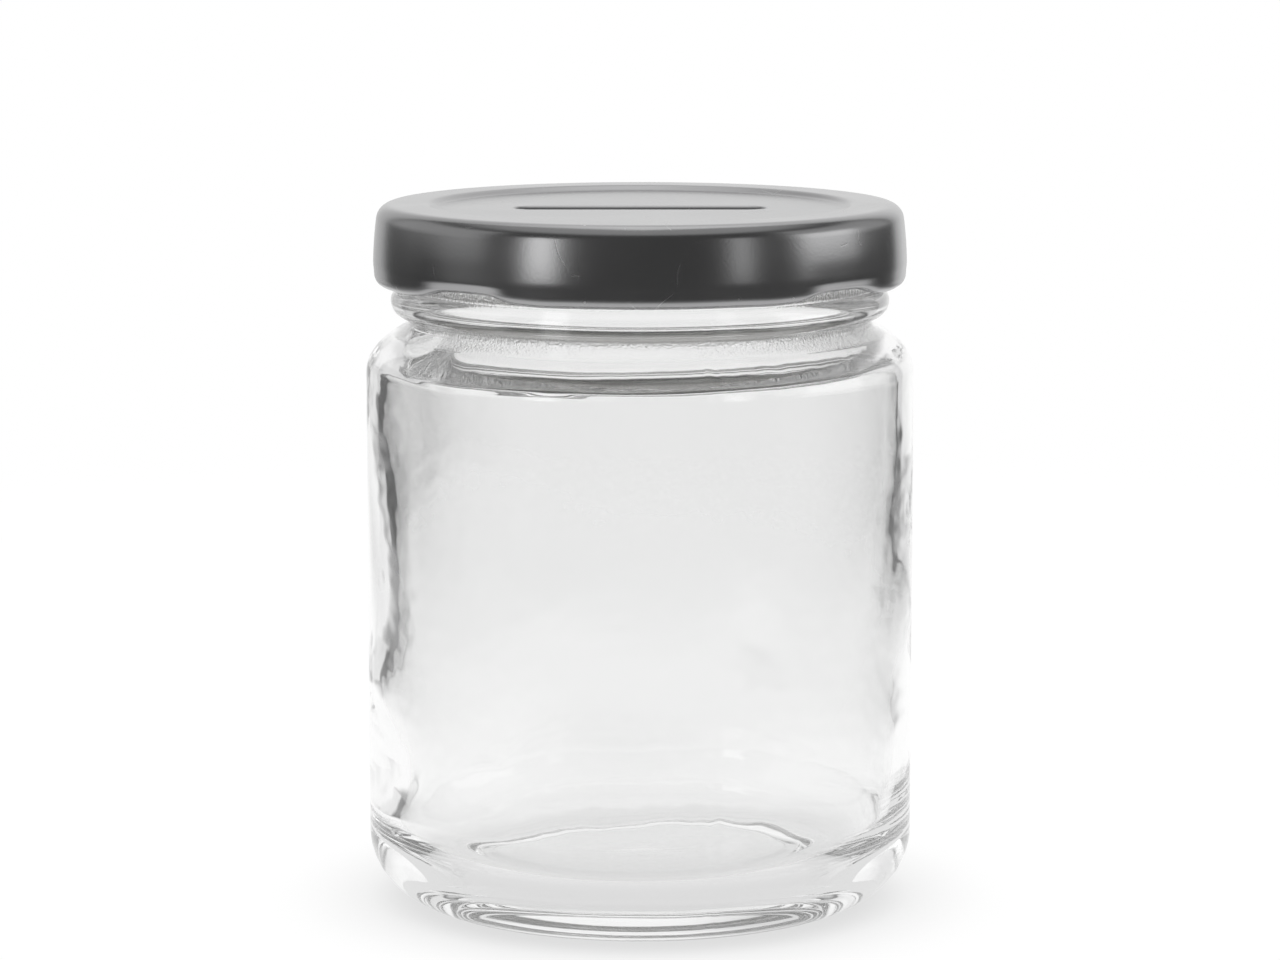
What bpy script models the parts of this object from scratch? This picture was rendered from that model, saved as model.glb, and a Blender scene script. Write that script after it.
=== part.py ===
"""Coin bank jar: a pressed-glass jar, its four-lug twist-off steel lid with a coin slot, and the
sealing ring inside the lid.

The origin is the centre of the base, on the plane the jar stands on. +Z is up and -Y is the front.
Lengths are in millimetres in the tables below and are turned into metres by MM where shapes are made.
"""

import math

import bmesh
import bpy
from mathutils import Matrix, Vector

MM = 0.001
TURN_STEPS = 60
MERGE = 1e-5

# Driving sizes of the glass.
BODY_R = 37.5
HEEL_WIDE = 10.2
HEEL_HIGH = 9.7
BEARING_IN_R = 25.4
PUNT_HIGH = 2.0
SHOULDER_Z = 73.4
SHOULDER_WIDE = 15.9
SHOULDER_HIGH = 8.4
SHOULDER_TOP_DEG = 48
NECK_R = 31.75
BEAD_R = 34.1
BEAD_HALF = 1.93
BEAD_Z = 83.3
FINISH_R = 32.8
BORE_R = 29.4
RIM_Z = 94.9
RIM_ROUND = 1.2
WALL = 3.4
FLOOR_Z = 5.6
FLOOR_CROWN = 0.9
INNER_HEEL = 8.5

# Driving sizes of the lid.
LID_R = 36.6
LID_BOTTOM_Z = 86.3
LID_TOP_Z = 96.3
SHEET = 0.25
CORNER_R = 1.8
CHANNEL_IN_R = 29.3
PANEL_DROP = 0.7
CURL_R = 0.9
CURL_SWEEP_DEG = 280
LUG_COUNT = 4
LUG_AZIMUTH_DEG = 51
LUG_NOSE_R = 33.45
LUG_HALF_HIGH = 0.7
LUG_RISE = 1.0
SKIRT_BLEND = 4.5

# The coin slot, long enough for a 26 mm coin at a slant and wide enough for a thick one.
SLOT_LENGTH = 34.0
SLOT_WIDTH = 4.8
SLOT_FLANGE = 1.3

# The four thread leads that the lugs turn under. A lead's centre line climbs from LEAD_LOW_Z.
LEAD_LOW_Z = 89.5
LEAD_RISE = 1.8
LEAD_R = 1.0
LEAD_PROUD = 1.45
LEAD_SPAN_DEG = 60
LEAD_START_DEG = -13
LEAD_FADE_DEG = 6
LEAD_STEPS = 15

# Clearance between the moulded sealing ring and what it touches.
SEAL_GAP = 0.1
SEAL_IN_R = 29.7


def clear_scene():
    for obj in list(bpy.data.objects):
        bpy.data.objects.remove(obj)


def new_collection(name):
    collection = bpy.data.collections.new(name)
    bpy.context.scene.collection.children.link(collection)
    return collection


def material(name, colour, roughness, metallic=0.0, transmission=0.0):
    made = bpy.data.materials.new(name)
    made.use_nodes = True
    shader = made.node_tree.nodes["Principled BSDF"]
    shader.inputs["Base Color"].default_value = (*colour, 1.0)
    shader.inputs["Roughness"].default_value = roughness
    shader.inputs["Metallic"].default_value = metallic
    shader.inputs["Transmission Weight"].default_value = transmission
    return made


def arc(centre_r, centre_z, wide, high, start_deg, end_deg, steps):
    """Points (r, z) along an elliptical arc, both ends included."""
    points = []
    for i in range(steps + 1):
        angle = math.radians(start_deg + (end_deg - start_deg) * i / steps)
        points.append((centre_r + wide * math.cos(angle), centre_z + high * math.sin(angle)))
    return points


def profile_object(name, points, collection):
    """An open line of (r, z) points in the XZ plane."""
    mesh = bpy.data.meshes.new(name)
    vertices = [Vector((r * MM, 0, z * MM)) for r, z in points]
    edges = [(i, i + 1) for i in range(len(points) - 1)]
    mesh.from_pydata(vertices, edges, [])
    obj = bpy.data.objects.new(name, mesh)
    collection.objects.link(obj)
    return obj


def turn(obj):
    """Sweeps the object's line right round Z."""
    screw = obj.modifiers.new("turn", "SCREW")
    screw.axis = "Z"
    screw.steps = TURN_STEPS
    screw.render_steps = TURN_STEPS
    screw.use_merge_vertices = True
    screw.merge_threshold = MERGE
    screw.use_smooth_shade = True


def made_mesh(obj, name, collection):
    """A plain mesh object from obj as it is evaluated, with its caps welded. obj is removed."""
    graph = bpy.context.evaluated_depsgraph_get()
    mesh = bpy.data.meshes.new_from_object(obj.evaluated_get(graph))
    work = bmesh.new()
    work.from_mesh(mesh)
    bmesh.ops.remove_doubles(work, verts=work.verts, dist=MERGE)
    bmesh.ops.recalc_face_normals(work, faces=work.faces)
    work.to_mesh(mesh)
    work.free()
    made = bpy.data.objects.new(name, mesh)
    made.matrix_world = obj.matrix_world
    collection.objects.link(made)
    bpy.data.objects.remove(obj)
    return made


def hide_helper(obj):
    obj.hide_render = True
    obj.display_type = "WIRE"


def boolean(obj, helper, operation):
    modifier = obj.modifiers.new(operation.lower() + " " + helper.name, "BOOLEAN")
    modifier.operation = operation
    modifier.object = helper
    modifier.solver = "EXACT"


def jar_inside():
    """From the middle of the floor up the inner wall to the rim's inner edge."""
    inner_r = BODY_R - WALL
    corner_z = FLOOR_Z + INNER_HEEL
    points = [(0, FLOOR_Z + FLOOR_CROWN), (14, FLOOR_Z + 0.55 * FLOOR_CROWN)]
    points += arc(inner_r - INNER_HEEL, corner_z, INNER_HEEL, INNER_HEEL, -90, 0, 5)
    top_wide, top_high = 9.0, 8.2
    points += arc(inner_r - top_wide, SHOULDER_Z - 1.2, top_wide, top_high, 0, 64, 5)
    points += [(BORE_R, SHOULDER_Z + 8.3), (BORE_R, RIM_Z - RIM_ROUND)]
    return points


def jar_rim():
    points = arc(BORE_R + RIM_ROUND, RIM_Z - RIM_ROUND, RIM_ROUND, RIM_ROUND, 150, 90, 2)
    return points + arc(FINISH_R - RIM_ROUND, RIM_Z - RIM_ROUND, RIM_ROUND, RIM_ROUND, 90, 0, 3)


def jar_outside():
    """From the finish wall down over the bead, neck, shoulder, body and heel to the base."""
    points = arc(BEAD_R - BEAD_HALF, BEAD_Z, BEAD_HALF, BEAD_HALF, 70, -80, 8)
    points += [(NECK_R, BEAD_Z - BEAD_HALF - 0.45), (NECK_R, BEAD_Z - BEAD_HALF - 1.0)]
    centre_r = BODY_R - SHOULDER_WIDE
    points += arc(centre_r, SHOULDER_Z, SHOULDER_WIDE, SHOULDER_HIGH, SHOULDER_TOP_DEG, 0, 7)
    points += arc(BODY_R - HEEL_WIDE, HEEL_HIGH, HEEL_WIDE, HEEL_HIGH, 0, -90, 6)
    points += [(BEARING_IN_R, 0), (BEARING_IN_R - 2.4, 0.75 * PUNT_HIGH), (0, PUNT_HIGH)]
    return points


def thread_lead(index, collection):
    """One short ridge that climbs round the finish and fades into it at both ends."""
    start = LUG_AZIMUTH_DEG + LEAD_START_DEG + index * 360 / LUG_COUNT
    proud_r = FINISH_R + LEAD_PROUD - LEAD_R
    spline_points = []
    for i in range(LEAD_STEPS + 1):
        share = i / LEAD_STEPS
        from_end = min(share, 1 - share) * LEAD_SPAN_DEG
        sunk = max(0.0, 1 - from_end / LEAD_FADE_DEG) ** 2 * (LEAD_PROUD + 0.3)
        angle = math.radians(start + share * LEAD_SPAN_DEG)
        radius = (proud_r - sunk) * MM
        z = (LEAD_LOW_Z + LEAD_RISE * share) * MM
        spline_points.append((radius * math.cos(angle), radius * math.sin(angle), z))
    curve = bpy.data.curves.new("lead", "CURVE")
    curve.dimensions = "3D"
    curve.bevel_depth = LEAD_R * MM
    curve.bevel_resolution = 2
    curve.use_fill_caps = True
    spline = curve.splines.new("POLY")
    spline.points.add(len(spline_points) - 1)
    for point, place in zip(spline.points, spline_points):
        point.co = (*place, 1)
    obj = bpy.data.objects.new("lead", curve)
    collection.objects.link(obj)
    helper = made_mesh(obj, f"thread_lead_{index}", collection)
    hide_helper(helper)
    return helper


def build_jar(parts, helpers):
    jar = profile_object("glass_jar", jar_inside() + jar_rim() + jar_outside(), parts)
    turn(jar)
    for index in range(LUG_COUNT):
        boolean(jar, thread_lead(index, helpers), "UNION")
    jar.data.materials.append(material("clear_glass", (0.93, 0.95, 0.95), 0.02, 0.0, 1.0))
    return jar


def lid_profile():
    """The outer face of the pressed sheet, from the centre of the top to the curl's free edge."""
    panel_z = LID_TOP_Z - PANEL_DROP
    points = [(0, panel_z), (CHANNEL_IN_R - 1.3, panel_z), (CHANNEL_IN_R, LID_TOP_Z)]
    corner_r = LID_R - CORNER_R
    points += arc(corner_r, LID_TOP_Z - CORNER_R, CORNER_R, CORNER_R, 90, 0, 4)
    curl_z = LID_BOTTOM_Z + CURL_R
    points += [(LID_R, curl_z + SKIRT_BLEND), (LID_R, curl_z + 0.5 * SKIRT_BLEND)]
    points += arc(LID_R - CURL_R, curl_z, CURL_R, CURL_R, 0, -CURL_SWEEP_DEG, 9)
    return points


def off_lug_deg(x, y):
    """Degrees round the axis from the nearest lug's centre."""
    pitch = 360 / LUG_COUNT
    angle = math.degrees(math.atan2(y, x)) - LUG_AZIMUTH_DEG
    return (angle + pitch / 2) % pitch - pitch / 2


def edge_lift(off_deg):
    """How far the lid's lower edge rises over a lug and dips beside it, in millimetres."""
    rise = math.exp(-math.log(2) * (off_deg / 11.5) ** 2)
    dip = 0.45 * math.exp(-(((abs(off_deg) - 20) / 5) ** 2))
    return LUG_RISE * (rise - dip)


def lug_share(off_deg):
    """1 across a lug and 0 away from it."""
    share = min(1.0, max(0.0, (12 - abs(off_deg)) / 6))
    return share * share * (3 - 2 * share)


def press_lugs(mesh):
    """Presses the curl inwards and flat at each lug, and lifts the skirt's lower edge there."""
    curl_z = LID_BOTTOM_Z + CURL_R
    curl_centre_r = LID_R - CURL_R
    lug_half_wide = (LID_R - LUG_NOSE_R) / 2
    for vertex in mesh.vertices:
        radius = math.hypot(vertex.co.x, vertex.co.y) / MM
        z = vertex.co.z / MM
        if z > curl_z + SKIRT_BLEND or radius < LUG_NOSE_R:
            continue
        off = off_lug_deg(vertex.co.x, vertex.co.y)
        share = lug_share(off)
        above = max(0.0, z - curl_z - CURL_R)
        lift = edge_lift(off) * (1 - above / (SKIRT_BLEND - CURL_R))
        if above == 0 and radius < LID_R - 1e-3 or z < curl_z + 1e-3:
            wide = 1 + share * (lug_half_wide / CURL_R - 1)
            high = 1 + share * (LUG_HALF_HIGH / CURL_R - 1)
            centre_r = curl_centre_r + share * (LID_R - lug_half_wide - curl_centre_r)
            new_r = centre_r + (radius - curl_centre_r) * wide
            z = curl_z + (z - curl_z) * high
        else:
            new_r = radius
        vertex.co.x *= new_r / radius
        vertex.co.y *= new_r / radius
        vertex.co.z = (z + lift) * MM


def slot_prism(name, length, width, low_z, high_z, collection):
    """A round-ended upright prism along X, for the slot and for the flange round it."""
    curve = bpy.data.curves.new(name, "CURVE")
    curve.dimensions = "2D"
    curve.fill_mode = "BOTH"
    curve.extrude = (high_z - low_z) / 2 * MM
    half_line, end_r, steps = (length - width) / 2, width / 2, 8
    spline = curve.splines.new("POLY")
    spline.use_cyclic_u = True
    spline.points.add(2 * (steps + 1) - 1)
    for i in range(2 * (steps + 1)):
        side = 1 if i <= steps else -1
        angle = math.radians(-90 + 180 * (i % (steps + 1)) / steps)
        x = side * (half_line + end_r * math.cos(angle))
        y = side * end_r * math.sin(angle)
        spline.points[i].co = (x * MM, y * MM, 0, 1)
    obj = bpy.data.objects.new(name, curve)
    obj.location.z = (low_z + high_z) / 2 * MM
    collection.objects.link(obj)
    bpy.context.view_layer.update()
    helper = made_mesh(obj, name, collection)
    hide_helper(helper)
    return helper


def build_lid(parts, helpers):
    line = profile_object("lid_line", lid_profile(), helpers)
    turn(line)
    line.rotation_euler.z = math.radians(LUG_AZIMUTH_DEG)
    bpy.context.view_layer.update()
    lid = made_mesh(line, "lid", parts)
    lid.data.transform(lid.matrix_world)
    lid.matrix_world = Matrix.Identity(4)
    press_lugs(lid.data)
    shell = lid.modifiers.new("sheet", "SOLIDIFY")
    shell.thickness = SHEET * MM
    shell.offset = -1
    shell.use_even_offset = True
    panel_z = LID_TOP_Z - PANEL_DROP
    flange_z = panel_z - SLOT_FLANGE
    outer = (SLOT_LENGTH + 2 * SHEET, SLOT_WIDTH + 2 * SHEET)
    flange = slot_prism("slot_flange", *outer, flange_z, panel_z - SHEET / 2, helpers)
    boolean(lid, flange, "UNION")
    cutter = slot_prism("slot_cutter", SLOT_LENGTH, SLOT_WIDTH, flange_z - 2, panel_z + 2, helpers)
    boolean(lid, cutter, "DIFFERENCE")
    lid.data.shade_smooth()
    lid.data.materials.append(material("tinplate", (0.42, 0.42, 0.43), 0.3, 1.0))
    return lid


def seal_profile():
    """The closed section of the compound that fills the lid's channel and seats on the rim."""
    under_z = RIM_Z + SEAL_GAP
    corner_r = CORNER_R - SHEET - SEAL_GAP
    top_z = LID_TOP_Z - SHEET - SEAL_GAP
    outer_r = LID_R - SHEET - SEAL_GAP
    points = [(SEAL_IN_R, top_z)]
    points += arc(outer_r - corner_r, top_z - corner_r, corner_r, corner_r, 90, 0, 3)
    points += [(outer_r, under_z - 0.9), (outer_r - 1.2, under_z - 1.3)]
    points += [(FINISH_R + 0.5, under_z - 1.2), (FINISH_R - 0.1, under_z - 0.1)]
    points += [(FINISH_R - 0.8, under_z), (SEAL_IN_R + 0.6, under_z), (SEAL_IN_R, under_z + 0.3)]
    return points + [points[0]]


def build_seal(parts):
    seal = profile_object("sealing_ring", seal_profile(), parts)
    turn(seal)
    seal.data.materials.append(material("plastisol", (0.78, 0.77, 0.74), 0.5))
    return seal


def main():
    clear_scene()
    parts = new_collection("coin_bank_jar")
    helpers = new_collection("cutters")
    build_jar(parts, helpers)
    build_lid(parts, helpers)
    build_seal(parts)


main()
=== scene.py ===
"""Looks of the coin bank jar: clear moulded glass, a pressed tinplate lid with a coin slot and four
lugs, and the sealing ring in the lid. Lengths are in millimetres unless a name says otherwise.

Angles round the jar are in degrees from +X, anticlockwise seen from above. The front is -90.
"""

import math

import bpy
import numpy as np
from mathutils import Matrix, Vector


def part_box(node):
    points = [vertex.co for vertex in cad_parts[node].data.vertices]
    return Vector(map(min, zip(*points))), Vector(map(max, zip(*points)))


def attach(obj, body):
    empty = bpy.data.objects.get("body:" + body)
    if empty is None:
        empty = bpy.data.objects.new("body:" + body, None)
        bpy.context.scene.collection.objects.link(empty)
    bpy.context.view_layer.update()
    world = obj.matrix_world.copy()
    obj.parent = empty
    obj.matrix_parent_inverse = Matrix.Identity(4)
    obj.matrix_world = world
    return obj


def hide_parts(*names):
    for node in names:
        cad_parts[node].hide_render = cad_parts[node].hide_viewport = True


MM = 0.001
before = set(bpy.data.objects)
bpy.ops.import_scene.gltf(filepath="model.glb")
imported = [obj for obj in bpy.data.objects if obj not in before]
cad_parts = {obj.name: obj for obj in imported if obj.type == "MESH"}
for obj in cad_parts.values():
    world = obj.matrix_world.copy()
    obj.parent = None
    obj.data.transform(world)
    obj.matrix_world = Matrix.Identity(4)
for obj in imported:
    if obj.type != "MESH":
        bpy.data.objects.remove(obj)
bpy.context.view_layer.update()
jar_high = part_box("glass_jar")[1]
lid_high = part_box("lid")[1]

# Glass. The body's radius, the rim's height and the lid's top come from the parts in model.glb.
BODY_R = jar_high.x / MM
RIM_Z = jar_high.z / MM
HEEL_WIDE = 10.2
HEEL_HIGH = 9.7
BEARING_IN_R = 25.4
PUNT_HIGH = 2.0
SHOULDER_Z = 73.4
SHOULDER_WIDE = 15.9
SHOULDER_HIGH = 8.4
SHOULDER_TOP_DEG = 48
NECK_R = 31.75
BEAD_R = 34.1
BEAD_HALF = 2.12
BEAD_Z = 83.1
FINISH_R = 32.8
BORE_R = 29.4
RIM_ROUND = 1.2
WALL = 3.4
FLOOR_Z = 5.6
FLOOR_CROWN = 0.9
INNER_HEEL = 8.5
INNER_CREASE_Z = 73.8
INNER_BEND_Z = 76.7
INNER_LOW_TILT_DEG = 54
INNER_HIGH_TILT_DEG = 34
INNER_ROUNDS = (1.2, 2.5, 1.5)

# How the glass varies, in size and in the lengths of its waves. The lean makes one side thicker.
WALL_LEAN = 0.7
SLOW_WAVES = (0.09, 18, 45)
FINE_WAVES = (0.004, 2, 6)
OUTER_WAVES = (0.012, 10, 40)
CREASE_WAVES = (0.2, 8, 40)
RIPPLE = 0.02
RIPPLE_LENGTH = 1.1
RIPPLE_REACH = 1.2

# Thick and thin spots as (angle round the jar, height, change, width, height of the spot): one on
# the shoulder, then those down the two sides.
WALL_SPOTS = (
    (211, 78, 1.15, 4.5, 2.7),
    (183, 68, -0.5, 10, 8),
    (183, 46, 0.5, 10, 10),
    (188, 29, -0.65, 10, 7),
    (186, 18, 0.5, 10, 7),
    (-3, 62, -0.3, 9, 6),
    (-3, 41, -0.9, 9, 6),
)

# Mould seams.
SEAM_DEG = (-75, 105)
SEAM_PROUD = 0.07
SEAM_HALF_WIDE = 0.45

# Thread leads on the finish.
LEAD_LOW_Z = 89.5
LEAD_RISE = 1.8
LEAD_R = 1.0
LEAD_PROUD = 1.45
LEAD_SPAN_DEG = 60
LEAD_START_DEG = -13
LEAD_FADE_DEG = 6

# Lid.
LID_TOP_Z = lid_high.z / MM
LID_R = 36.45
LID_BOTTOM_Z = 85.45
SHEET = 0.25
CORNER_R = 1.8
CHANNEL_IN_R = 29.3
PANEL_DROP = 0.7
CURL_R = 1.05
CURL_HALF_HIGH = 1.5
CURL_SWEEP_DEG = 280
LUG_COUNT = 4
LUG_AZIMUTH_DEG = 49
LUG_NOSE_R = 33.45
LUG_HALF_HIGH = 0.8
LUG_RISE = 0.45
LUG_ARCH_HALF_DEG = 11.5
LUG_DIP = 0.2
LUG_DIP_DEG = 20
LUG_DIP_HALF_DEG = 5
LUG_NOSE_HALF_DEG = 14
LUG_NOSE_BLEND_DEG = 8
LUG_SKIRT_PRESS = 0.1
SKIRT_BLEND = 4.5
SKIRT_TAPER = 0.12
SKIRT_TAPER_HIGH = 1.6
SKIRT_DRAFT_FROM_Z = 87.3
SKIRT_DRAFT = 0.0092
SLOT_LENGTH = 34.0
SLOT_WIDTH = 4.8
SLOT_FLANGE = 1.3
SLOT_ROUND = 0.6
SLOT_EDGE = 0.4
PANEL_EDGE = 2.2
PANEL_RINGS = 14

# Sealing ring.
SEAL_GAP = 0.1
SEAL_IN_R = 29.7

# Mesh fineness.
AROUND = 360
POINT_GAP = 0.5

# Glass material. Grain bands are (height, reach), and the grain lies on the outer face's front.
GLASS_TINT = (0.962, 0.963, 0.962, 1)
GLASS_IOR = 1.52
BUMP_DEPTH = 0.1
GLASS_WAVE = 0.25
GRAIN_DEPTH = 6.0
GRAIN_BANDS = ((79.9, 1.4), (87.5, 3.0))
GRAIN_BACK_Y = 0
GRAIN_FRONT_Y = -12
GRAIN_IN_R = 30.0
GRAIN_OUT_R = 30.8

# Lid and seal materials. Ranges run from the darkest or smoothest place to the other end.
LID_TONE = (0.345, 0.385)
LID_ROUGHNESS = (0.215, 0.255)
LID_INSIDE = (0.90, 0.89, 0.87, 1)
MARK_TONE = 0.25
MARK_ROUGHNESS = 0.2
SCRATCH_SHARE = 0.5
SEAL_TONE = (0.84, 0.90)
SEAL_ROUGHNESS = (0.4, 0.55)

# Studio light. Each panel is (middle, half width, lowest, highest, edge softness) in degrees, and
# its light. WALL_PANELS are the white wall behind the jar and its brighter core, which get dimmer
# between WALL_DIM_FROM and WALL_DIM_TO above level. SIDE_PANELS are the ceiling, a soft box at each
# side, and lamps and a dim screen further round. The camera itself sees plain white behind the jar.
ROOM_LIGHT = 0.10
WALL_DIM_FROM = 8
WALL_DIM_TO = 30
WALL_HIGH_SHARE = 0.92
WALL_PANELS = (
    (0, 37, -90, 90, 2, 0.66),
    (8, 21, -90, 90, 9, 0.24),
)
SIDE_PANELS = (
    (0, 200, 50, 100, 8, 0.42),
    (-76, 34, 3, 38, 4, 0.45),
    (76, 34, 3, 38, 4, 0.45),
    (-137, 7, -3, 19, 2.5, 1.9),
    (-98, 12, -14, 8, 4, 0.12),
    (90, 17, 0, 18, 3, 1.0),
    (136, 5, -3, 19, 2.5, 0.78),
)

# The table's white top, as its light and how far it reaches. It lies about a point TABLE_BACK
# behind the jar as the camera sees it. The glass sees it dimmer to the left and right: TABLE_LEFT
# and TABLE_RIGHT each give two places sideways and the share of light that is left.
TABLE_LIGHT = 1.0
# TABLE_SHADE and SHADE_REACH set a painted contact shadow: the share of the table's glow left
# beside the jar's foot, and how far that shade reaches.
TABLE_SHADE = 0.72
SHADE_REACH = 20
TABLE_R = 330
TABLE_FADE_R = 210
TABLE_BACK = 120
TABLE_LEFT = (-200, -110, 0.3)
TABLE_RIGHT = (110, 200, 0.2)

# The camera stands where the photographer stood, as distance, height and the height it aims at.
CAMERA_AWAY = 620
CAMERA_HIGH = 150
CAMERA_AIM_Z = 58
LENS_MM = 128
SENSOR_MM = 36
BOUNCES = 64


def smoothstep(low, high, value):
    share = np.clip((value - low) / (high - low), 0, 1)
    return share * share * (3 - 2 * share)


def arc(centre_r, centre_z, wide, high, start_deg, end_deg):
    """Points (r, z) along an elliptical arc, both ends included."""
    length = math.radians(abs(end_deg - start_deg)) * max(wide, high)
    count = max(4, round(length / POINT_GAP))
    angles = np.radians(np.linspace(start_deg, end_deg, count + 1))
    return np.column_stack([centre_r + wide * np.cos(angles), centre_z + high * np.sin(angles)])


def profile(*stretches):
    """One line of (r, z) points through arcs and single points, at most POINT_GAP apart."""
    corners = np.vstack([np.atleast_2d(stretch) for stretch in stretches])
    points = [corners[0]]
    for start, end in zip(corners[:-1], corners[1:]):
        length = np.linalg.norm(end - start)
        if length < 1e-6:
            continue
        count = math.ceil(length / POINT_GAP)
        points += [start + (end - start) * i / count for i in range(1, count + 1)]
    return np.array(points)


def rounded(corners, radii):
    """Points (r, z) through corners, each inner corner rounded to its radius."""
    corners = [np.array(corner, float) for corner in corners]
    points = [corners[0]]
    for before, corner, after, radius in zip(corners, corners[1:], corners[2:], radii):
        back = (before - corner) / np.linalg.norm(before - corner)
        on = (after - corner) / np.linalg.norm(after - corner)
        half = math.acos(np.clip(back @ on, -1, 1)) / 2
        centre = corner + (back + on) / np.linalg.norm(back + on) * radius / math.sin(half)
        first = corner + back * radius / math.tan(half) - centre
        last = corner + on * radius / math.tan(half) - centre
        sweep = math.pi - 2 * half
        for share in np.linspace(0, 1, 9):
            mix = math.sin((1 - share) * sweep) * first + math.sin(share * sweep) * last
            points.append(centre + mix / math.sin(sweep))
    return np.array(points + [corners[-1]])


def outward(points):
    """Unit normals (r, z) to the right of a line of points."""
    along = np.gradient(points, axis=0)
    along /= np.linalg.norm(along, axis=1)[:, None]
    return np.column_stack([along[:, 1], -along[:, 0]])


def ring_angles():
    return np.linspace(0, 2 * math.pi, AROUND, endpoint=False)


def turned(radius, z, angles):
    """Points in metres for radii and heights that may change round the axis."""
    x, y = radius * np.cos(angles), radius * np.sin(angles)
    return np.stack([x, y, z + 0 * angles], axis=-1) * MM


def mesh_of_rings(name, rings, closed):
    """A smooth mesh through rings of points. A closed section meets itself, and an open one is
    filled to a middle point at each end."""
    count, around = rings.shape[:2]
    vertices = rings.reshape(-1, 3)
    index = np.arange(count * around).reshape(count, around)
    rows = np.vstack([index, index[:1]]) if closed else index
    low, high = rows[:-1], rows[1:]
    quads = np.stack([low, np.roll(low, -1, 1), np.roll(high, -1, 1), high], axis=-1)
    faces = quads.reshape(-1, 4).tolist()
    if not closed:
        middles = np.stack([rings[0].mean(axis=0), rings[-1].mean(axis=0)])
        first, last = count * around, count * around + 1
        vertices = np.vstack([vertices, middles])
        for j in range(around):
            after = (j + 1) % around
            faces.append((first, index[0, after], index[0, j]))
            faces.append((last, index[-1, j], index[-1, after]))
    mesh = bpy.data.meshes.new(name)
    mesh.from_pydata(vertices.tolist(), [], faces)
    mesh.shade_smooth()
    obj = bpy.data.objects.new(name, mesh)
    bpy.context.scene.collection.objects.link(obj)
    return obj


def waves(seed, angles, heights, shortest, longest, count=28):
    """A wavy field of about unit size over the jar's wall, the same on every run."""
    draw = np.random.default_rng(seed)
    field = 0
    total = 0
    for _ in range(count):
        length = shortest * (longest / shortest) ** draw.random()
        heading = draw.uniform(0, 2 * math.pi)
        number = 2 * math.pi / length
        turns = round(number * math.cos(heading) * BODY_R)
        shift = draw.uniform(0, 2 * math.pi)
        climb = number * math.sin(heading)
        field = field + length * np.sin(turns * angles + climb * heights + shift)
        total += length**2 / 2
    return field / math.sqrt(total)


# ---------------------------------------------------------------- glass jar


def jar_outside():
    """From the middle of the base out over the heel, wall, shoulder, neck, bead and finish."""
    centre_r = BODY_R - SHOULDER_WIDE
    return profile(
        (0.3, PUNT_HIGH),
        (BEARING_IN_R - 5, 0.9 * PUNT_HIGH),
        (BEARING_IN_R - 2.4, 0.6 * PUNT_HIGH),
        (BEARING_IN_R - 0.7, 0.1),
        (BEARING_IN_R, 0),
        arc(BODY_R - HEEL_WIDE, HEEL_HIGH, HEEL_WIDE, HEEL_HIGH, -90, 0),
        arc(centre_r, SHOULDER_Z, SHOULDER_WIDE, SHOULDER_HIGH, 0, SHOULDER_TOP_DEG),
        (NECK_R, BEAD_Z - BEAD_HALF - 1.0),
        (NECK_R, BEAD_Z - BEAD_HALF - 0.45),
        arc(BEAD_R - BEAD_HALF, BEAD_Z, BEAD_HALF, BEAD_HALF, -80, 70),
        (FINISH_R, BEAD_Z + BEAD_HALF + 0.4),
        (FINISH_R, RIM_Z - RIM_ROUND),
    )


def jar_rim():
    outer = arc(FINISH_R - RIM_ROUND, RIM_Z - RIM_ROUND, RIM_ROUND, RIM_ROUND, 0, 90)
    inner = arc(BORE_R + RIM_ROUND, RIM_Z - RIM_ROUND, RIM_ROUND, RIM_ROUND, 90, 180)
    return profile(outer, inner)


def jar_inside():
    """From the rim's inner edge down the inner wall to the middle of the floor."""
    inner_r = BODY_R - WALL
    low_run = INNER_BEND_Z - INNER_CREASE_Z
    bend_r = inner_r - low_run * math.tan(math.radians(INNER_LOW_TILT_DEG))
    top_z = INNER_BEND_Z + (bend_r - BORE_R) / math.tan(math.radians(INNER_HIGH_TILT_DEG))
    shoulder = [
        (BORE_R, RIM_Z - RIM_ROUND),
        (BORE_R, top_z),
        (bend_r, INNER_BEND_Z),
        (inner_r, INNER_CREASE_Z),
        (inner_r, INNER_CREASE_Z - 10),
    ]
    return profile(
        rounded(shoulder, INNER_ROUNDS),
        arc(inner_r - INNER_HEEL, FLOOR_Z + INNER_HEEL, INNER_HEEL, INNER_HEEL, 0, -90),
        (14, FLOOR_Z + 0.55 * FLOOR_CROWN),
        (0.3, FLOOR_Z + FLOOR_CROWN),
    )


def off_azimuth(angles, azimuth):
    """Signed degrees from an azimuth, between -180 and 180."""
    return (np.degrees(angles) - azimuth + 180) % 360 - 180


def sized_waves(seed, angles, heights, kind):
    size, shortest, longest = kind
    return size * waves(seed, angles, heights, shortest, longest)


def wall_change(angles, heights):
    """How much thicker than WALL the glass is, in millimetres: blown glass is never even."""
    on_wall = smoothstep(9, 20, heights) * (1 - smoothstep(72, 82, heights))
    lean = -WALL_LEAN * np.cos(angles)
    slow = sized_waves(5, angles, heights, SLOW_WAVES)
    fine = sized_waves(8, angles, heights, FINE_WAVES)
    spots = 0
    for azimuth, height, amount, wide, high in WALL_SPOTS:
        across = np.radians(off_azimuth(angles, azimuth)) * BODY_R
        off = (across / wide) ** 2 + ((heights - height) / high) ** 2
        spots = spots + amount * np.exp(-off)
    crease_z = INNER_CREASE_Z - 0.3 + sized_waves(3, angles, 0 * heights, CREASE_WAVES)
    above = heights - crease_z
    fading = np.exp(-((above / RIPPLE_REACH) ** 2))
    ripple = RIPPLE * np.sin(2 * math.pi * above / RIPPLE_LENGTH) * fading
    return on_wall * (lean + slow + spots + fine) + ripple


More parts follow.
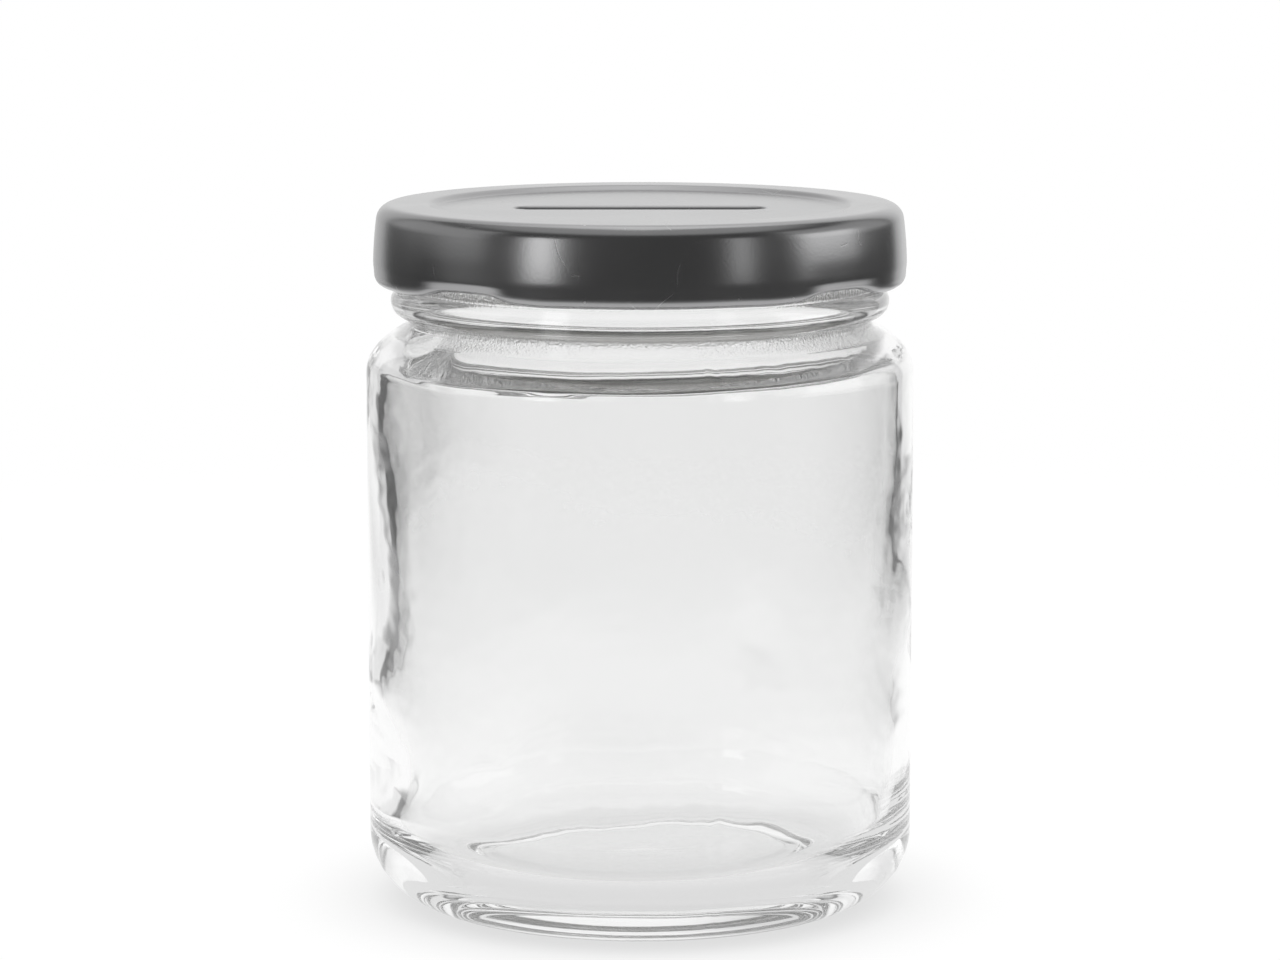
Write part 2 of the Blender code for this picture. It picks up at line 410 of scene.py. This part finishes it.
def lead_height(angles, heights):
    """How far the four thread leads stand out of the finish."""
    pitch = 360 / LUG_COUNT
    along = (np.degrees(angles) - LUG_AZIMUTH_DEG - LEAD_START_DEG) % pitch
    share = along / LEAD_SPAN_DEG
    from_end = np.minimum(along, LEAD_SPAN_DEG - along)
    fade = smoothstep(0, LEAD_FADE_DEG, from_end)
    from_centre = (heights - LEAD_LOW_Z - LEAD_RISE * share) / (1.25 * LEAD_R)
    return LEAD_PROUD * fade * np.sqrt(np.clip(1 - from_centre**2, 0, 1)) ** 1.3


def seam_height(angles, heights):
    """The fine ridges where the mould's halves met, up the wall and over the shoulder."""
    ridge = 0
    for azimuth in SEAM_DEG:
        across = np.radians(off_azimuth(angles, azimuth)) * BODY_R
        ridge = ridge + SEAM_PROUD * np.exp(-((across / SEAM_HALF_WIDE) ** 2))
    return ridge * smoothstep(1.5, 5, heights) * (1 - smoothstep(84, 86, heights))


def build_jar():
    outside, rim, inside = jar_outside(), jar_rim(), jar_inside()
    line = profile(outside, rim, inside)
    normals = outward(line)
    heights = line[:, 1][:, None]
    angles = ring_angles()[None, :]
    first_inner = len(profile(outside, rim)) - 1
    inner = (np.arange(len(line)) >= first_inner)[:, None]
    finish = (heights > BEAD_Z + BEAD_HALF) & ~inner
    outer_change = sized_waves(2, angles, heights, OUTER_WAVES) * smoothstep(0.5, 8, heights)
    outer_change = outer_change * (1 - smoothstep(80, 84, heights)) + seam_height(angles, heights)
    change = np.where(inner, wall_change(angles, heights), outer_change)
    change = change + np.where(finish, lead_height(angles, heights), 0)
    radius = line[:, 0][:, None] + change * normals[:, 0][:, None]
    z = heights + change * normals[:, 1][:, None]
    jar = mesh_of_rings("jar_glass", turned(radius, z, angles), closed=False)
    jar.data.materials.append(glass_material())
    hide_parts("glass_jar")
    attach(jar, "jar")
    return jar


# ---------------------------------------------------------------- lid


def stadium(reach, angles):
    """Points round the slot at a distance from its middle line, spaced evenly along it."""
    half_line = (SLOT_LENGTH - SLOT_WIDTH) / 2
    quarter_turn = math.pi / 2 * reach
    total = 4 * (half_line + quarter_turn)
    along = (angles / (2 * math.pi) * total) % total
    x, y = np.zeros_like(along), np.zeros_like(along)
    for i, place in enumerate(along):
        side = 1 if place < total / 2 else -1
        place %= total / 2
        if place < quarter_turn:
            turn = place / reach
            x[i], y[i] = half_line + reach * math.cos(turn), reach * math.sin(turn)
        elif place < quarter_turn + 2 * half_line:
            x[i], y[i] = half_line - (place - quarter_turn), reach
        else:
            turn = math.pi / 2 + (place - quarter_turn - 2 * half_line) / reach
            x[i], y[i] = -half_line + reach * math.cos(turn), reach * math.sin(turn)
        x[i], y[i] = side * x[i], side * y[i]
    return x, y


def slot_lip(depth):
    """The sheet's face turned down into the slot, from its cut edge up to the panel. depth is how
    far under the top face it lies, 0 or SHEET."""
    panel_z = LID_TOP_Z - PANEL_DROP
    centre = SLOT_WIDTH / 2 + SLOT_ROUND
    radius = SLOT_ROUND - depth if depth else SLOT_ROUND
    return profile(
        (SLOT_WIDTH / 2 + depth, panel_z - SLOT_FLANGE),
        (SLOT_WIDTH / 2 + depth, panel_z - SLOT_ROUND),
        arc(centre, panel_z - SLOT_ROUND, radius, radius, 180, 90),
        (centre + SLOT_EDGE, panel_z - depth),
    )


def off_lug_deg(angles):
    """Signed degrees from the nearest lug's middle."""
    pitch = 360 / LUG_COUNT
    return (np.degrees(angles) - LUG_AZIMUTH_DEG + pitch / 2) % pitch - pitch / 2


def lid_sheet(depth):
    """The sheet's face from the panel out over the channel, down the skirt and round the curl."""
    panel_z = LID_TOP_Z - PANEL_DROP - depth
    top_z = LID_TOP_Z - depth
    corner_r = LID_R - CORNER_R
    corner = CORNER_R - depth
    curl = CURL_R - depth
    curl_high = CURL_HALF_HIGH - depth
    curl_z = LID_BOTTOM_Z + CURL_HALF_HIGH
    return profile(
        (CHANNEL_IN_R - PANEL_EDGE, panel_z),
        (CHANNEL_IN_R - 1.3, panel_z + 0.05),
        (CHANNEL_IN_R - 0.3, top_z - 0.05),
        (CHANNEL_IN_R + 0.5, top_z),
        arc(corner_r, LID_TOP_Z - CORNER_R, corner, corner, 90, 0),
        arc(LID_R - CURL_R, curl_z, curl, curl_high, 0, -CURL_SWEEP_DEG),
    )


def press_lugs(radius, z, angles):
    """Presses the curl inwards and flat at each lug, and lifts the skirt's lower edge there."""
    off = np.abs(off_lug_deg(angles))
    rise = np.exp(-math.log(2) * (off / LUG_ARCH_HALF_DEG) ** 2)
    dip = LUG_DIP * np.exp(-(((off - LUG_DIP_DEG) / LUG_DIP_HALF_DEG) ** 2))
    share = smoothstep(0, 1, (LUG_NOSE_HALF_DEG - off) / LUG_NOSE_BLEND_DEG)
    curl_z = LID_BOTTOM_Z + CURL_HALF_HIGH
    centre_r = LID_R - CURL_R
    half_wide = (LID_R - 0.5 - LUG_NOSE_R) / 2
    up = np.clip((z - curl_z) / SKIRT_BLEND, 0, 1)
    lift = LUG_RISE * (rise - dip) * (1 - smoothstep(0, 1, up))
    on_curl = z <= curl_z + 1e-6
    in_curl = on_curl | ((radius < LID_R - 0.3) & (z < curl_z + CURL_HALF_HIGH + 0.01))
    wide = 1 + share * (half_wide / CURL_R - 1)
    high = 1 + share * (LUG_HALF_HIGH / CURL_HALF_HIGH - 1)
    new_centre = centre_r + share * (LUG_NOSE_R + half_wide - centre_r)
    curled_r = new_centre + (radius - centre_r) * wide
    curled_z = curl_z + (z - curl_z) * high + LUG_RISE * (rise - dip)
    skirt_r = radius - LUG_SKIRT_PRESS * share * (1 - smoothstep(0, 1, up))
    return np.where(in_curl, curled_r, skirt_r), np.where(in_curl, curled_z, z + lift)


def skirt_draft(z):
    """How far the skirt has leaned in at this height."""
    return SKIRT_DRAFT * np.clip(z - SKIRT_DRAFT_FROM_Z, 0, None) ** 2


def lid_face(depth):
    """Rings of one face of the sheet, from the slot's cut edge to the curl's free edge."""
    angles = ring_angles()
    rings = []
    for reach, z in slot_lip(depth):
        x, y = stadium(reach, angles)
        rings.append(np.stack([x, y, 0 * x + z], axis=-1) * MM)
    x, y = stadium(SLOT_WIDTH / 2 + SLOT_ROUND + SLOT_EDGE, angles)
    edge_r = CHANNEL_IN_R - PANEL_EDGE
    panel_z = LID_TOP_Z - PANEL_DROP - depth
    for share in np.linspace(0, 1, PANEL_RINGS)[1:-1]:
        across = (1 - share) * x + share * edge_r * np.cos(angles)
        along = (1 - share) * y + share * edge_r * np.sin(angles)
        rings.append(np.stack([across, along, 0 * x + panel_z], axis=-1) * MM)
    line = lid_sheet(depth)
    radius, z = press_lugs(line[:, 0][:, None], line[:, 1][:, None], angles[None, :])
    taper_top = LID_BOTTOM_Z + CURL_HALF_HIGH + SKIRT_TAPER_HIGH
    taper = SKIRT_TAPER * smoothstep(0, 1, (taper_top - z) / SKIRT_TAPER_HIGH)
    radius = radius - smoothstep(CHANNEL_IN_R, CHANNEL_IN_R + 3, radius) * (taper + skirt_draft(z))
    return np.concatenate([np.array(rings), turned(radius, z, angles[None, :])])


def build_lid():
    outer, inner = lid_face(0), lid_face(SHEET)
    rings = np.concatenate([outer, inner[::-1]])[::-1]
    lid = mesh_of_rings("lid_sheet", rings, closed=True)
    inside = np.repeat(np.arange(len(rings)) < len(inner), AROUND).astype(np.float32)
    lid.data.attributes.new("inside", "FLOAT", "POINT").data.foreach_set("value", inside)
    lid.data.materials.append(tinplate_material())
    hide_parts("lid")
    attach(lid, "lid")
    return lid


# ---------------------------------------------------------------- sealing ring


def build_seal():
    under_z = RIM_Z + SEAL_GAP
    corner_r = CORNER_R - SHEET - SEAL_GAP
    top_z = LID_TOP_Z - SHEET - SEAL_GAP
    outer_r = LID_R - SHEET - SEAL_GAP
    line = profile(
        (SEAL_IN_R, under_z + 0.3),
        (SEAL_IN_R + 0.6, under_z),
        (FINISH_R - 0.8, under_z),
        (FINISH_R - 0.1, under_z - 0.1),
        (FINISH_R + 0.5, under_z - 1.2),
        (outer_r - 1.2, under_z - 1.3),
        (outer_r, under_z - 0.9),
        arc(outer_r - corner_r, top_z - corner_r, corner_r, corner_r, 0, 90),
        (SEAL_IN_R, top_z),
    )
    angles = ring_angles()[None, :]
    z = line[:, 1][:, None] + 0 * angles
    by_skirt = smoothstep(FINISH_R, outer_r - corner_r, line[:, 0][:, None])
    radius = line[:, 0][:, None] - by_skirt * skirt_draft(z)
    seal = mesh_of_rings("sealing_compound", turned(radius, z, angles), closed=True)
    seal.data.materials.append(plastisol_material())
    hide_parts("sealing_ring")
    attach(seal, "seal")
    return seal


# ---------------------------------------------------------------- materials


def node(tree, kind, inputs=None, **settings):
    """A new shader node with its settings made and its inputs set or linked."""
    made = tree.nodes.new("ShaderNode" + kind)
    for name, value in settings.items():
        setattr(made, name, value)
    for name, value in (inputs or {}).items():
        if isinstance(value, bpy.types.NodeSocket):
            tree.links.new(value, made.inputs[name])
        else:
            made.inputs[name].default_value = value
    return made


def maths(tree, operation, *values):
    return node(tree, "Math", dict(enumerate(values)), operation=operation).outputs[0]


def times(tree, first, second):
    return maths(tree, "MULTIPLY", first, second)


def plus(tree, first, second):
    return maths(tree, "ADD", first, second)


def vectors(tree, operation, *values, output=0):
    """A vector operation's result: output 0 for a vector, "Value" for a number."""
    return node(tree, "VectorMath", dict(enumerate(values)), operation=operation).outputs[output]


def new_material(name):
    material = bpy.data.materials.new(name)
    material.use_nodes = True
    tree = material.node_tree
    return material, tree, tree.nodes["Principled BSDF"]


def connect(tree, output, socket):
    tree.links.new(output, socket)


def ramp(tree, value, low, high, start=0.0, end=1.0):
    """A smooth change from start to end while a value goes from low to high."""
    made = node(tree, "MapRange", {"Value": value, 1: low, 2: high, 3: start, 4: end})
    made.interpolation_type = "SMOOTHSTEP"
    return made.outputs[0]


def noise(tree, place, scale, detail=2.0):
    return node(tree, "TexNoise", {"Vector": place, "Scale": scale, "Detail": detail}).outputs[0]


def object_place(tree):
    return node(tree, "TexCoord").outputs["Object"]


def grey(tree, tone, blue_share):
    """A grey of a tone, with its blue made weaker or stronger."""
    channels = {0: tone, 1: tone, 2: times(tree, tone, blue_share)}
    return node(tree, "CombineColor", channels).outputs[0]


def bump(tree, shader, height, strength):
    """Raises the surface by a height field, by up to BUMP_DEPTH."""
    inputs = {"Height": height, "Strength": strength, "Distance": BUMP_DEPTH * MM}
    connect(tree, node(tree, "Bump", inputs).outputs[0], shader.inputs["Normal"])


def near(tree, value, middle, reach):
    """1 at the middle, falling to 0 at reach to either side."""
    off = maths(tree, "ABSOLUTE", maths(tree, "SUBTRACT", value, middle))
    return ramp(tree, off, 0.35 * reach, reach, 1.0, 0.0)


def neck_grain(tree, place):
    """Patches of fine grain on the front of the neck, where the mould chilled the glass."""
    sideways, depthwise, height = node(tree, "SeparateXYZ", {0: place}).outputs
    bands = [near(tree, height, middle * MM, reach * MM) for middle, reach in GRAIN_BANDS]
    patches = ramp(tree, noise(tree, place, 90), 0.3, 0.5)
    front = ramp(tree, depthwise, GRAIN_FRONT_Y * MM, GRAIN_BACK_Y * MM, 1.0, 0.0)
    flat = node(tree, "CombineXYZ", {0: sideways, 1: depthwise}).outputs[0]
    from_axis = vectors(tree, "LENGTH", flat, output="Value")
    outside = ramp(tree, from_axis, GRAIN_IN_R * MM, GRAIN_OUT_R * MM)
    chill = times(tree, times(tree, plus(tree, *bands), patches), times(tree, front, outside))
    return times(tree, noise(tree, place, 2700, 4.0), times(tree, chill, GRAIN_DEPTH))


def glass_material():
    """Clear glass, slightly wavy, with grain round the neck."""
    material, tree, shader = new_material("clear_moulded_glass")
    shader.inputs["Base Color"].default_value = GLASS_TINT
    shader.inputs["Roughness"].default_value = 0.0
    shader.inputs["IOR"].default_value = GLASS_IOR
    shader.inputs["Transmission Weight"].default_value = 1.0
    place = object_place(tree)
    wave = times(tree, noise(tree, place, 70), GLASS_WAVE)
    bump(tree, shader, plus(tree, wave, neck_grain(tree, place)), 1.0)
    return material


def scratches(tree, place):
    """Fine curved scratches in patches, along the borders of large bent cells."""
    bend = node(tree, "TexNoise", {"Vector": place, "Scale": 40.0}).outputs["Color"]
    bent = vectors(tree, "ADD", vectors(tree, "MULTIPLY", bend, (0.02, 0.02, 0.02)), place)
    cells = {"Vector": bent, "Scale": 110.0}
    lines = node(tree, "TexVoronoi", cells, feature="DISTANCE_TO_EDGE").outputs["Distance"]
    patches = ramp(tree, noise(tree, place, 160, 3.0), 0.56, 0.66)
    return times(tree, ramp(tree, lines, 0.0, 0.012, 1.0, 0.0), patches)


def dust_specks(tree, place):
    """A pale dot in the middle of a few small cells."""
    cells = node(tree, "TexVoronoi", {"Vector": place, "Scale": 700.0})
    draw = node(tree, "SeparateXYZ", {0: cells.outputs["Color"]}).outputs[0]
    dot = ramp(tree, cells.outputs["Distance"], 0.08, 0.16, 1.0, 0.0)
    return times(tree, dot, ramp(tree, draw, 0.985, 0.99))


def tinplate_material():
    """Satin lacquer over steel outside with handling scratches, and a pale lacquer inside."""
    material, tree, shader = new_material("lacquered_tinplate")
    place = object_place(tree)
    inside = node(tree, "Attribute", attribute_name="inside").outputs["Fac"]
    cloud = noise(tree, place, 60, 4.0)
    scratch = scratches(tree, place)
    mark = maths(tree, "MAXIMUM", times(tree, scratch, SCRATCH_SHARE), dust_specks(tree, place))
    tone = plus(tree, ramp(tree, cloud, 0.3, 0.7, *LID_TONE), times(tree, mark, MARK_TONE))
    mix = {0: inside, 6: grey(tree, tone, 1.01), 7: LID_INSIDE}
    colour = node(tree, "Mix", mix, data_type="RGBA").outputs[2]
    connect(tree, colour, shader.inputs["Base Color"])
    connect(tree, maths(tree, "SUBTRACT", 1.0, inside), shader.inputs["Metallic"])
    satin = ramp(tree, cloud, 0.3, 0.7, *LID_ROUGHNESS)
    satin = plus(tree, satin, times(tree, mark, MARK_ROUGHNESS))
    connect(tree, satin, shader.inputs["Roughness"])
    peel = plus(tree, times(tree, noise(tree, place, 500), 0.6), noise(tree, place, 2600))
    bump(tree, shader, maths(tree, "SUBTRACT", peel, times(tree, scratch, 1.5)), 0.05)
    return material


def plastisol_material():
    """Off-white sealing compound with a slightly mottled, dull skin."""
    material, tree, shader = new_material("sealing_plastisol")
    place = object_place(tree)
    tone = ramp(tree, noise(tree, place, 140, 4.0), 0.3, 0.7, *SEAL_TONE)
    connect(tree, grey(tree, tone, 0.96), shader.inputs["Base Color"])
    dull = ramp(tree, noise(tree, place, 900), 0.3, 0.7, *SEAL_ROUGHNESS)
    connect(tree, dull, shader.inputs["Roughness"])
    bump(tree, shader, noise(tree, place, 700, 3.0), 0.2)
    return material


# ---------------------------------------------------------------- studio


def camera_directions(tree):
    """The camera's level forward direction and its right, as unit vectors."""
    view = node(tree, "VectorTransform", {0: (0, 0, 1)}, convert_from="CAMERA", convert_to="WORLD")
    heading = vectors(tree, "NORMALIZE", vectors(tree, "MULTIPLY", view.outputs[0], (1, 1, 0)))
    return heading, vectors(tree, "CROSS_PRODUCT", heading, (0, 0, 1))


def seen_by_camera(tree):
    return node(tree, "LightPath").outputs["Is Camera Ray"]


def table_light(tree, place, aside):
    """The table's glow, with shade painted into it: a soft contact shadow from ambient occlusion,
    and dimmer at both sides where only glass looks.
    """
    # Painted shadow: ambient occlusion dims the table's own glow near the jar.
    shadow = node(tree, "AmbientOcclusion", {"Distance": SHADE_REACH * MM}, samples=8)
    light = ramp(tree, shadow.outputs["AO"], 0.0, 1.0, TABLE_SHADE, TABLE_LIGHT)
    # Painted shade: the glow that the glass sees fades towards the left and right.
    right = vectors(tree, "DOT_PRODUCT", place, aside, output="Value")
    far_left, left, left_share = TABLE_LEFT
    near_right, far_right, right_share = TABLE_RIGHT
    fall_left = ramp(tree, right, far_left * MM, left * MM, left_share, 1.0)
    fall_right = ramp(tree, right, near_right * MM, far_right * MM, 1.0, right_share)
    fall = maths(tree, "MAXIMUM", seen_by_camera(tree), times(tree, fall_left, fall_right))
    return times(tree, light, fall)


def build_floor():
    """A pale table top that glows, with a soft contact shadow painted into its glow. Past its faded
    edge the studio's white wall carries on."""
    size = (TABLE_R + TABLE_BACK) * MM
    bpy.ops.mesh.primitive_circle_add(vertices=96, radius=size, fill_type="NGON")
    floor = bpy.context.object
    floor.name = "studio_table"
    material, tree, shader = new_material("pale_table")
    shader.inputs["Base Color"].default_value = (0.02, 0.02, 0.02, 1)
    shader.inputs["Roughness"].default_value = 0.9
    shader.inputs["Specular IOR Level"].default_value = 0.0
    shader.inputs["Emission Color"].default_value = (1, 1, 1, 1)
    heading, aside = camera_directions(tree)
    place = object_place(tree)
    connect(tree, table_light(tree, place, aside), shader.inputs["Emission Strength"])
    middle = vectors(tree, "MULTIPLY", heading, (TABLE_BACK * MM,) * 3)
    away = vectors(tree, "SUBTRACT", place, middle)
    reach = vectors(tree, "LENGTH", away, output="Value")
    cover = ramp(tree, reach, TABLE_FADE_R * MM, TABLE_R * MM, 1.0, 0.0)
    connect(tree, cover, shader.inputs["Alpha"])
    floor.data.materials.append(material)


def band(tree, value, low, high, soft):
    """1 where a value lies between low and high, with soft edges."""
    rise = ramp(tree, value, low - soft, low + soft)
    fall = ramp(tree, value, high - soft, high + soft, 1.0, 0.0)
    return times(tree, rise, fall)


def panels(tree, sideways, up, places, total):
    """Adds the light of soft-edged rectangular panels to a total."""
    for middle, half_wide, low, high, soft, light in places:
        across = band(tree, sideways, middle - half_wide, middle + half_wide, soft)
        share = times(tree, across, band(tree, up, low, high, soft))
        total = plus(tree, total, times(tree, share, light))
    return total


def build_world():
    """Soft studio light that keeps its place round the camera: a white wall behind the jar, a dim
    room at the sides and behind the camera, and a few soft panels. Angles are measured sideways
    from straight ahead, to the right, and up from level."""
    world = bpy.data.worlds.new("studio")
    bpy.context.scene.world = world
    world.use_nodes = True
    tree = world.node_tree
    background = tree.nodes["Background"]
    heading, aside = camera_directions(tree)
    ray = node(tree, "TexCoord").outputs["Generated"]
    ahead = vectors(tree, "DOT_PRODUCT", ray, heading, output="Value")
    right = vectors(tree, "DOT_PRODUCT", ray, aside, output="Value")
    sideways = maths(tree, "DEGREES", maths(tree, "ARCTAN2", right, ahead))
    rise = node(tree, "SeparateXYZ", {0: ray}).outputs["Z"]
    up = maths(tree, "DEGREES", maths(tree, "ARCSINE", rise))
    dim = {"Value": up, 1: WALL_DIM_FROM, 2: WALL_DIM_TO, 3: 1.0, 4: WALL_HIGH_SHARE}
    wall = panels(tree, sideways, up, WALL_PANELS, 0.0)
    wall = times(tree, wall, node(tree, "MapRange", dim).outputs[0])
    total = panels(tree, sideways, up, SIDE_PANELS, plus(tree, wall, ROOM_LIGHT))
    light = maths(tree, "MAXIMUM", seen_by_camera(tree), total)
    connect(tree, light, background.inputs["Strength"])
    background.inputs["Color"].default_value = (1, 1, 1, 1)


def build_camera():
    data = bpy.data.cameras.new("camera")
    data.lens = LENS_MM
    data.sensor_width = SENSOR_MM
    camera = bpy.data.objects.new("camera", data)
    bpy.context.scene.collection.objects.link(camera)
    camera.location = Vector((0, -CAMERA_AWAY, CAMERA_HIGH)) * MM
    aim = Vector((0, 0, CAMERA_AIM_Z)) * MM
    camera.rotation_euler = (aim - camera.location).to_track_quat("-Z", "Y").to_euler()
    bpy.context.scene.camera = camera


def set_light_paths():
    """Enough bounces for light to cross both walls, and plain tones so that white stays white."""
    scene = bpy.context.scene
    scene.view_settings.view_transform = "Standard"
    scene.cycles.max_bounces = BOUNCES
    scene.cycles.transmission_bounces = BOUNCES
    scene.cycles.glossy_bounces = BOUNCES


build_jar()
build_lid()
build_seal()
build_floor()
build_world()
build_camera()
set_light_paths()
